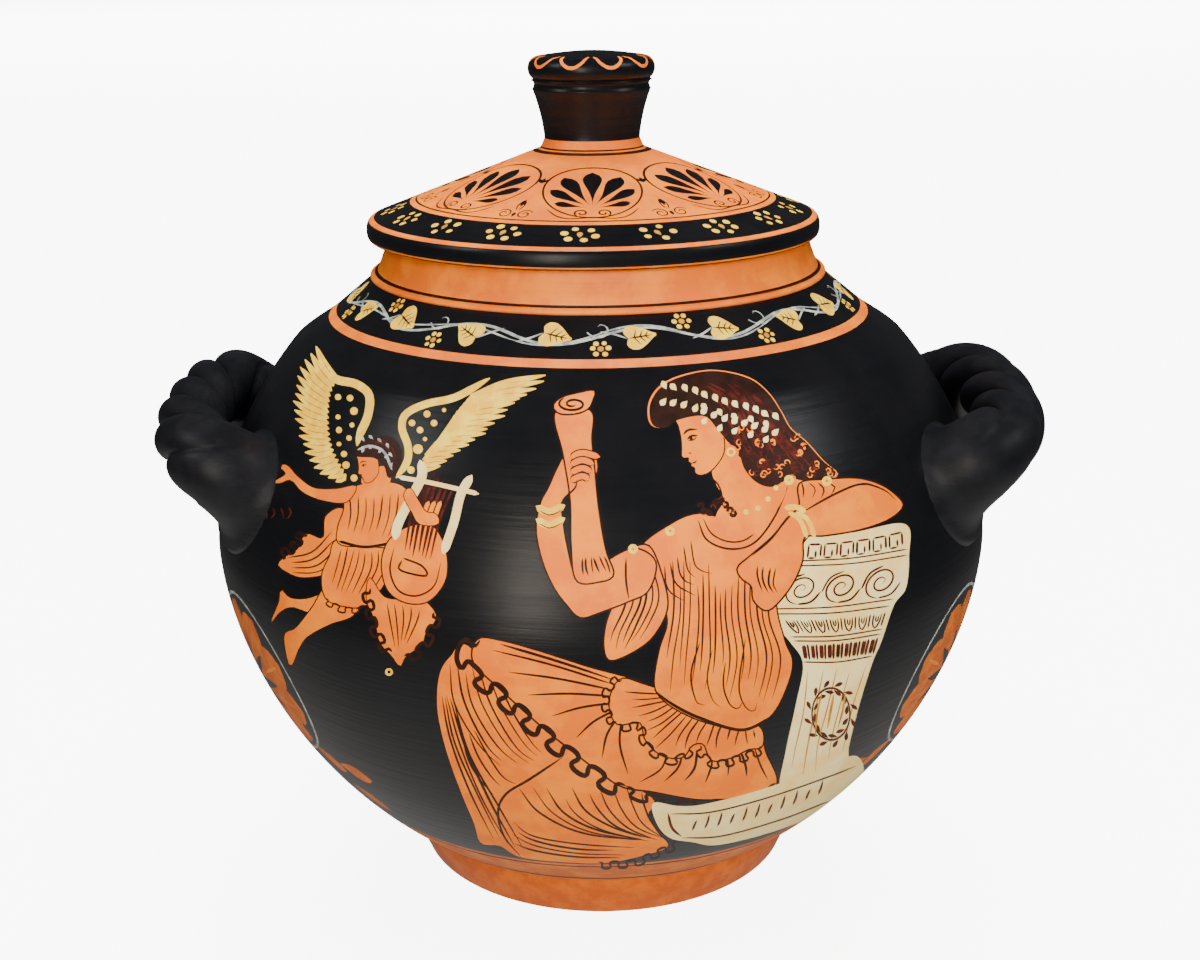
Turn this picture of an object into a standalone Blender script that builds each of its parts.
"""Lidded ceramic jar with two twisted rope handles.

Units are metres, +Z is up. The origin is on the jar's axis, at the surface that its foot stands on.
The handles reach out along X, and the painted front faces -Y.
Two fired pieces: the vessel with its handles, and the lid that rests on its mouth.
"""

import math

import bmesh
import bpy
from mathutils import Matrix, Vector

# Body: two superellipse halves that meet at the belly.
FOOT_HEIGHT = 0.0140
FOOT_JOINT_R = 0.0629
LOWER_HEIGHT = 0.0900
LOWER_POWER = 1.75
BELLY_R = 0.1138
SHOULDER_RISE = 0.0560
SHOULDER_R = 0.0893
UPPER_POWER = 1.70

# Foot: a turned ring under the jar, hollow underneath.
FOOT_STEP = 0.0022
FOOT_TAPER = 0.0038
FOOT_RIM = 0.0103
RECESS_DEPTH = 0.0045
EDGE = 0.0010

# Ivy band: the straight slope between the shoulder and the collar.
BAND_GAP = 0.0084
BAND_RISE = 0.0100
BAND_WIDTH = 0.0122

# Collar: a fillet ring and a plain band that carries the lid.
COLLAR_BASE_R = 0.0637
COLLAR_TAPER = 0.0028
COLLAR_HEIGHT = 0.0110
FILLET_HEIGHT = 0.0018
FILLET_STEP = 0.0015

# Walls and fits.
WALL = 0.0050
FLOOR_THICKNESS = 0.0075
FLOOR_FILLET = 0.0160
SEAT_GAP = 0.0003
MOUTH_CLEARANCE = 0.0020
LID_REST_SHARE = 0.6

# Lid: a low cone with a rounded rim, a locating ring below and a knob above.
RIM_OVERHANG = 0.0042
RIM_HEIGHT = 0.0055
RIM_EDGE = 0.0013
CONE_RISE = 0.0186
CONE_POWER = 1.00
LID_WALL = 0.0050
RING_DEPTH = 0.0080
RING_WALL = 0.0040
NECK_R = 0.0136
NECK_FLARE = 0.0009
NECK_BAND = 0.0028
KNOB_R = 0.0180
KNOB_HEIGHT = 0.0241
KNOB_LIP = 0.0066
KNOB_GROOVE = 0.0009
KNOB_DOME = 0.0014

# Handles: a twisted rope bent into a horseshoe, with smooth flared roots.
HANDLE_RISE = 0.0360
HANDLE_REACH = 0.0149
HANDLE_STRETCH = 1.06
HANDLE_BEND_SIDE = 1.19
HANDLE_BEND_OUT = 0.94
ROOT_WIDTH = 0.0420
ROOT_DROP = 0.0160
ROOT_DEPTH = 0.0041
ROOT_SINK = 0.0110
HANDLE_TURNS = (math.radians(3.8), math.radians(-4.0))
ROPE_R = 0.0101
ROPE_GROOVE = 0.0040
ROPE_STRANDS = 3
ROPE_LEAD = 0.0645
ROPE_HAND = 1.0
ROPE_STARTS = (math.radians(64.0), math.radians(24.0))
ROOT_FLARE = 0.0052
ROOT_START = 0.34
ROOT_SAG = -1.1
TWIST_END = 0.68
BACK_ROOT_FLARE = 0.0096
BACK_ROOT_START = 0.22
BACK_ROOT_SAG = 1.1
BACK_TWIST_END = 0.88
TWIST_FADE = 0.22
BEND_SHARE = 0.75

STEPS = 44
RING_PITCH = 0.0035

# Places that follow from the sizes above.
BELLY_Z = FOOT_HEIGHT + LOWER_HEIGHT
SHOULDER_Z = BELLY_Z + SHOULDER_RISE
LOWER_SPAN = LOWER_HEIGHT / (1.0 - (FOOT_JOINT_R / BELLY_R) ** 2) ** (1.0 / LOWER_POWER)
UPPER_SPAN = SHOULDER_RISE / (1.0 - (SHOULDER_R / BELLY_R) ** 2) ** (1.0 / UPPER_POWER)
BAND_LOW_Z = SHOULDER_Z + BAND_GAP
BAND_TOP_Z = BAND_LOW_Z + BAND_RISE
BAND_TOP_R = COLLAR_BASE_R + FILLET_STEP
BAND_LOW_R = BAND_TOP_R + BAND_WIDTH
COLLAR_TOP_R = COLLAR_BASE_R - COLLAR_TAPER
COLLAR_TOP_Z = BAND_TOP_Z + COLLAR_HEIGHT
FOOT_TOP_R = FOOT_JOINT_R - FOOT_STEP
FOOT_BOTTOM_R = FOOT_TOP_R - FOOT_TAPER
RECESS_R = FOOT_BOTTOM_R - FOOT_RIM
MOUTH_R = COLLAR_TOP_R - WALL
RIM_R = COLLAR_TOP_R + RIM_OVERHANG


def clear_scene():
    """Removes everything, so that the file holds only the jar."""
    for obj in list(bpy.data.objects):
        bpy.data.objects.remove(obj, do_unlink=True)
    for col in list(bpy.data.collections):
        bpy.data.collections.remove(col)


def collection(name):
    col = bpy.data.collections.new(name)
    bpy.context.scene.collection.children.link(col)
    return col


def material(name, colour, roughness, metallic=0.0):
    mat = bpy.data.materials.new(name)
    mat.use_nodes = True
    bsdf = mat.node_tree.nodes["Principled BSDF"]
    bsdf.inputs["Base Color"].default_value = (*colour, 1.0)
    bsdf.inputs["Roughness"].default_value = roughness
    bsdf.inputs["Metallic"].default_value = metallic
    mat.diffuse_color = (*colour, 1.0)
    return mat


def put(obj, col, mat=None):
    col.objects.link(obj)
    if mat:
        obj.data.materials.append(mat)
    return obj


def hide_cutter(obj):
    obj.hide_render = True
    obj.display_type = "WIRE"
    return obj


def turned(name, profile, steps=STEPS):
    """A profile of (radius, height) pairs, outer side downwards, turned about Z by a Screw modifier."""
    mesh = bpy.data.meshes.new(name)
    mesh.from_pydata([(r, 0.0, z) for r, z in profile], [(i, i + 1) for i in range(len(profile) - 1)], [])
    obj = bpy.data.objects.new(name, mesh)
    screw = obj.modifiers.new("Turn", "SCREW")
    screw.axis = "Z"
    screw.steps = steps
    screw.render_steps = steps
    screw.use_merge_vertices = True
    screw.merge_threshold = 0.00002
    screw.use_smooth_shade = True
    return obj


def bezier(p0, p1, p2, p3, count):
    """Points of a cubic Bezier curve, without its first point."""
    out = []
    for k in range(1, count + 1):
        t = k / count
        a, b, c, d = (1 - t) ** 3, 3 * t * (1 - t) ** 2, 3 * t * t * (1 - t), t ** 3
        r = a * p0[0] + b * p1[0] + c * p2[0] + d * p3[0]
        z = a * p0[1] + b * p1[1] + c * p2[1] + d * p3[1]
        out.append((r, z))
    return out


def wall_radius(z):
    """Outer radius of the body: BELLY_R * sqrt(1 - (distance from the belly / span) ** power)."""
    below = z < BELLY_Z
    span, power = (LOWER_SPAN, LOWER_POWER) if below else (UPPER_SPAN, UPPER_POWER)
    return BELLY_R * math.sqrt(max(0.0, 1.0 - (abs(z - BELLY_Z) / span) ** power))


def body_points():
    """The outer wall from the foot joint up to the foot of the collar, evenly spaced along its length."""
    fine = []
    for k in range(161):
        z = FOOT_HEIGHT + (SHOULDER_Z - FOOT_HEIGHT) * k / 160
        fine.append((wall_radius(z), z))
    (r0, z0), (r1, z1) = fine[-2], fine[-1]
    slope = (r1 - r0) / (z1 - z0)
    reach = (BAND_LOW_Z - SHOULDER_Z) / 3
    band = (BAND_TOP_R - BAND_LOW_R) / (BAND_TOP_Z - BAND_LOW_Z)
    fine += bezier(
        (r1, z1),
        (r1 + slope * reach, z1 + reach),
        (BAND_LOW_R - band * reach, BAND_LOW_Z - reach),
        (BAND_LOW_R, BAND_LOW_Z),
        12,
    )
    even = resampled([Vector((r, 0.0, z)) for r, z in fine], 24)
    return [(p.x, p.z) for p in even] + [(BAND_TOP_R, BAND_TOP_Z)]


def resampled(points, count):
    """count points at equal distances along the line through points, ends included."""
    lengths = [0.0]
    for a, b in zip(points, points[1:]):
        lengths.append(lengths[-1] + (b - a).length)
    out, i = [], 0
    for k in range(count):
        target = lengths[-1] * k / (count - 1)
        while i < len(points) - 2 and lengths[i + 1] < target:
            i += 1
        t = (target - lengths[i]) / max(1e-12, lengths[i + 1] - lengths[i])
        out.append(points[i].lerp(points[i + 1], min(1.0, max(0.0, t))))
    return out


def offset_inward(points, distance):
    """The profile moved towards the axis along its own normals."""
    out = []
    for i, (r, z) in enumerate(points):
        a = points[max(0, i - 1)]
        b = points[min(len(points) - 1, i + 1)]
        tr, tz = b[0] - a[0], b[1] - a[1]
        size = math.hypot(tr, tz)
        out.append((r - tz / size * distance, z + tr / size * distance))
    return out


def collar_points():
    """The fillet ring and the plain collar, upwards from the ivy band."""
    fillet_top = BAND_TOP_Z + FILLET_HEIGHT
    return [
        (BAND_TOP_R + 0.35 * FILLET_STEP, BAND_TOP_Z + 0.25 * FILLET_HEIGHT),
        (BAND_TOP_R + 0.20 * FILLET_STEP, fillet_top - 0.2 * FILLET_HEIGHT),
        (COLLAR_BASE_R, fillet_top),
        (COLLAR_TOP_R + 0.40 * COLLAR_TAPER, 0.5 * (fillet_top + COLLAR_TOP_Z)),
        (COLLAR_TOP_R, COLLAR_TOP_Z - EDGE),
        (COLLAR_TOP_R - EDGE, COLLAR_TOP_Z),
    ]


def foot_points():
    """The foot's outer side upwards, from its standing edge."""
    rise = FOOT_HEIGHT - EDGE
    out = [(FOOT_BOTTOM_R - EDGE, 0.0), (FOOT_BOTTOM_R, EDGE)]
    for k in (0.35, 0.7, 0.94):
        out.append((FOOT_BOTTOM_R + FOOT_TAPER * math.sin(k * math.pi / 2), EDGE + rise * k))
    out.append((FOOT_TOP_R - 0.3 * FOOT_STEP, FOOT_HEIGHT))
    return out


def vessel_outside():
    """The solid that the handles join and the cavity is cut from, top centre down to the foot's recess."""
    up = foot_points() + body_points()[1:] + collar_points()
    recess = [(RECESS_R + EDGE, 0.0), (RECESS_R, EDGE)]
    recess += [(RECESS_R - EDGE, RECESS_DEPTH), (0.0, RECESS_DEPTH)]
    return [(0.0, COLLAR_TOP_Z)] + up[::-1] + recess


def cavity_profile():
    """The room inside, from above the mouth down to the inner floor."""
    floor = RECESS_DEPTH + FLOOR_THICKNESS
    low_limit = floor + 0.25 * FLOOR_FILLET
    inner = []
    for r, z in offset_inward(body_points(), WALL):
        if z > low_limit and (z < BELLY_Z or r > MOUTH_R + 0.1 * WALL):
            inner.append((r, z))
    inner = inner[::2] if len(inner) % 2 else inner[1::2]
    r, z = inner[0]
    start = (r - FLOOR_FILLET, floor)
    corner = bezier((r, z), (r - 0.28 * FLOOR_FILLET, floor), (r - 0.5 * FLOOR_FILLET, floor), start, 4)
    above = COLLAR_TOP_Z + 2.0 * WALL
    side = [(MOUTH_R, above), (MOUTH_R, BAND_TOP_Z + 0.5 * COLLAR_HEIGHT)]
    return [(0.0, above)] + side + inner[::-1] + corner + [(0.0, floor)]


def lid_profile():
    """The lid from the top of the knob, down its outside and back up underneath."""
    seat = COLLAR_TOP_Z + SEAT_GAP
    rim_top = seat + RIM_HEIGHT
    cone_top = rim_top + CONE_RISE
    neck_top = cone_top + NECK_BAND
    knob_top = neck_top + KNOB_HEIGHT
    lip_low = knob_top - KNOB_DOME - KNOB_LIP
    out = [(0.0, knob_top), (0.5 * KNOB_R, knob_top - 0.25 * KNOB_DOME)]
    out.append((0.84 * KNOB_R, knob_top - KNOB_DOME))
    for a in (40, 5, -40):
        w = math.radians(a)
        out.append((
            0.84 * KNOB_R + 0.16 * KNOB_R * math.cos(w),
            knob_top - KNOB_DOME - 0.5 * KNOB_LIP + 0.5 * KNOB_LIP * math.sin(w),
        ))
    lip_r = 0.955 * KNOB_R
    out += [
        (lip_r, lip_low),
        (lip_r - KNOB_GROOVE, lip_low - 0.15 * KNOB_LIP),
        (lip_r - 0.4 * KNOB_GROOVE, lip_low - 0.36 * KNOB_LIP),
        (NECK_R + 0.30 * (lip_r - NECK_R), neck_top + 0.17 * KNOB_HEIGHT),
        (NECK_R, neck_top),
        (NECK_R + NECK_FLARE, cone_top + 0.15 * NECK_BAND),
    ]
    inner_r = NECK_R + 2.0 * NECK_FLARE
    cone_r = RIM_R - RIM_EDGE

    def cone(t):
        return inner_r + (cone_r - inner_r) * t, rim_top + CONE_RISE * (1.0 - t ** CONE_POWER)

    out += [cone(k / 8) for k in range(9)]
    out += [
        (RIM_R - 0.3 * RIM_EDGE, rim_top - 0.6 * RIM_EDGE),
        (RIM_R, rim_top - 0.45 * RIM_HEIGHT),
        (RIM_R - 0.15 * RIM_EDGE, seat + RIM_EDGE),
        (RIM_R - RIM_EDGE, seat),
    ]
    ring_r = MOUTH_R - MOUTH_CLEARANCE
    ring_in = ring_r - RING_WALL
    low = seat - RING_DEPTH
    out += [(ring_r, seat), (ring_r, low + EDGE), (ring_r - EDGE, low)]
    out += [(ring_in + EDGE, low), (ring_in, low + EDGE)]
    for k in (0.80, 0.62, 0.42, 0.24):
        r, z = cone(k)
        if r < ring_in - 0.25 * RING_WALL:
            out.append((r, z - 1.07 * LID_WALL))
    r_last, z_last = out[-1]
    return out + [(0.4 * r_last, z_last + 0.36 * LID_WALL), (0.0, z_last + 0.44 * LID_WALL)]


def groove_depth(angle, groove):
    """How far the rope's skin lies under its round strands: most between two, nothing on a crest."""
    phase = (angle * ROPE_STRANDS / (2 * math.pi)) % 1.0
    off = 2.0 * abs(phase - round(phase))
    return groove * (1.0 - math.sqrt(max(0.0, 1.0 - off * off)))


def handle_path():
    """Centre line of one handle on the +X side, from one root inside the wall round to the other.

    Its straight part is a share of the width between the roots, and the bend goes out and sideways
    from the root by shares of the rope's own radius, so that a thicker rope also bends wider.
    """
    z = BELLY_Z + HANDLE_RISE
    r = wall_radius(z) + HANDLE_REACH
    root_z = z - ROOT_DROP
    root_r = wall_radius(root_z) - ROOT_DEPTH
    tip = Vector((r, 0.0, z))
    stretch = Vector((r, HANDLE_STRETCH * ROOT_WIDTH, z))
    root = Vector((math.sqrt(root_r ** 2 - ROOT_WIDTH ** 2), ROOT_WIDTH, root_z))
    bend = Vector((root.x + HANDLE_BEND_OUT * ROPE_R, ROOT_WIDTH + HANDLE_BEND_SIDE * ROPE_R, z))
    half = []
    for k in range(49):
        t = k / 48
        a, b, c, d = (1 - t) ** 3, 3 * t * (1 - t) ** 2, 3 * t * t * (1 - t), t ** 3
        half.append(a * tip + b * stretch + c * bend + d * root)
    way = (root - bend).normalized()
    half += [root + way * ROOT_SINK * k / 8 for k in range(1, 9)]
    return [Vector((p.x, -p.y, p.z)) for p in half[:0:-1]] + half


def handle_mesh(name, to_back, start_turn):
    """Lofts the twisted section along the handle's path, with a closed cap at each end.

    to_back tells whether the path ends at the jar's back, where the root is thicker below. The twist
    is start_turn at the middle. On the inside of a bend the skin stops at a share of the way to the
    bend's centre, as clay that is pressed together does, so the rope never folds into itself.
    """
    path = handle_path()
    length = sum((b - a).length for a, b in zip(path, path[1:]))
    count = 2 * max(6, round(0.5 * length / RING_PITCH))
    points = resampled(path, count + 1)
    around = ROPE_STRANDS * 4
    upwards = Vector((0.0, 0.0, 1.0))
    shape = []
    for k, p in enumerate(points):
        far = abs(2.0 * k / count - 1.0)
        back = (2 * k > count) == to_back
        flare, start, sag, end = (
            (BACK_ROOT_FLARE, BACK_ROOT_START, BACK_ROOT_SAG, BACK_TWIST_END)
            if back
            else (ROOT_FLARE, ROOT_START, ROOT_SAG, TWIST_END)
        )
        growth = flare * max(0.0, (far - start) / (1.0 - start)) ** 1.6
        groove = ROPE_GROOVE * max(0.0, min(1.0, (end - far) / TWIST_FADE))
        turned_so_far = math.copysign(min(far, end), 2 * k - count) * 0.5 * length
        shape.append((p - upwards * (growth * sag), growth, groove, turned_so_far))
    bm = bmesh.new()
    rings = []
    for k, (p, growth, groove, turned_so_far) in enumerate(shape):
        before, after = shape[max(k - 1, 0)][0], shape[min(k + 1, count)][0]
        ahead = (after - before).normalized()
        curve = Vector()
        if 0 < k < count:
            curve = ((after - p).normalized() - (p - before).normalized()) * 2.0 / (after - before).length
        side = ahead.cross(upwards).normalized()
        up = side.cross(ahead)
        twist = ROPE_HAND * (2 * math.pi * turned_so_far / ROPE_LEAD + start_turn)
        ring = []
        for m in range(around):
            angle = 2 * math.pi * m / around
            w = angle + twist
            out = side * math.cos(w) + up * math.sin(w)
            r = ROPE_R + growth - groove_depth(angle, groove)
            inwards = curve.dot(out)
            if inwards > 0.0:
                r = min(r, BEND_SHARE / inwards)
            ring.append(bm.verts.new(p + out * r))
        rings.append(ring)
    for a, b in zip(rings, rings[1:]):
        for m in range(around):
            n = (m + 1) % around
            bm.faces.new((a[m], a[n], b[n], b[m]))
    bm.faces.new(rings[0][::-1])
    bm.faces.new(rings[-1])
    bmesh.ops.recalc_face_normals(bm, faces=bm.faces)
    mesh = bpy.data.meshes.new(name)
    bm.to_mesh(mesh)
    bm.free()
    mesh.shade_smooth()
    return mesh


def join(target, other, operation):
    mod = target.modifiers.new(other.name, "BOOLEAN")
    mod.operation = operation
    mod.solver = "EXACT"
    mod.object = other


def build():
    clear_scene()
    jar = collection("lidded_jar")
    cutters = collection("lidded_jar_cutters")
    black = material("black_gloss", (0.012, 0.013, 0.016), 0.38)
    clay = material("terracotta", (0.62, 0.26, 0.09), 0.55)

    vessel = put(turned("vessel", vessel_outside()), jar, black)
    for side, (base, turn) in enumerate(((math.pi, HANDLE_TURNS[0]), (0.0, HANDLE_TURNS[1]))):
        name = "handle_%d" % (side + 1)
        handle = bpy.data.objects.new(name, handle_mesh(name, side == 1, ROPE_STARTS[side]))
        handle = hide_cutter(put(handle, cutters))
        handle.matrix_world = Matrix.Rotation(base + turn, 4, "Z")
        join(vessel, handle, "UNION")
    cavity = hide_cutter(put(turned("cavity", cavity_profile()), cutters))
    join(vessel, cavity, "DIFFERENCE")

    lid = put(turned("lid", lid_profile()), jar, clay)
    lid.location.x = -LID_REST_SHARE * MOUTH_CLEARANCE
    bpy.context.view_layer.update()


build()
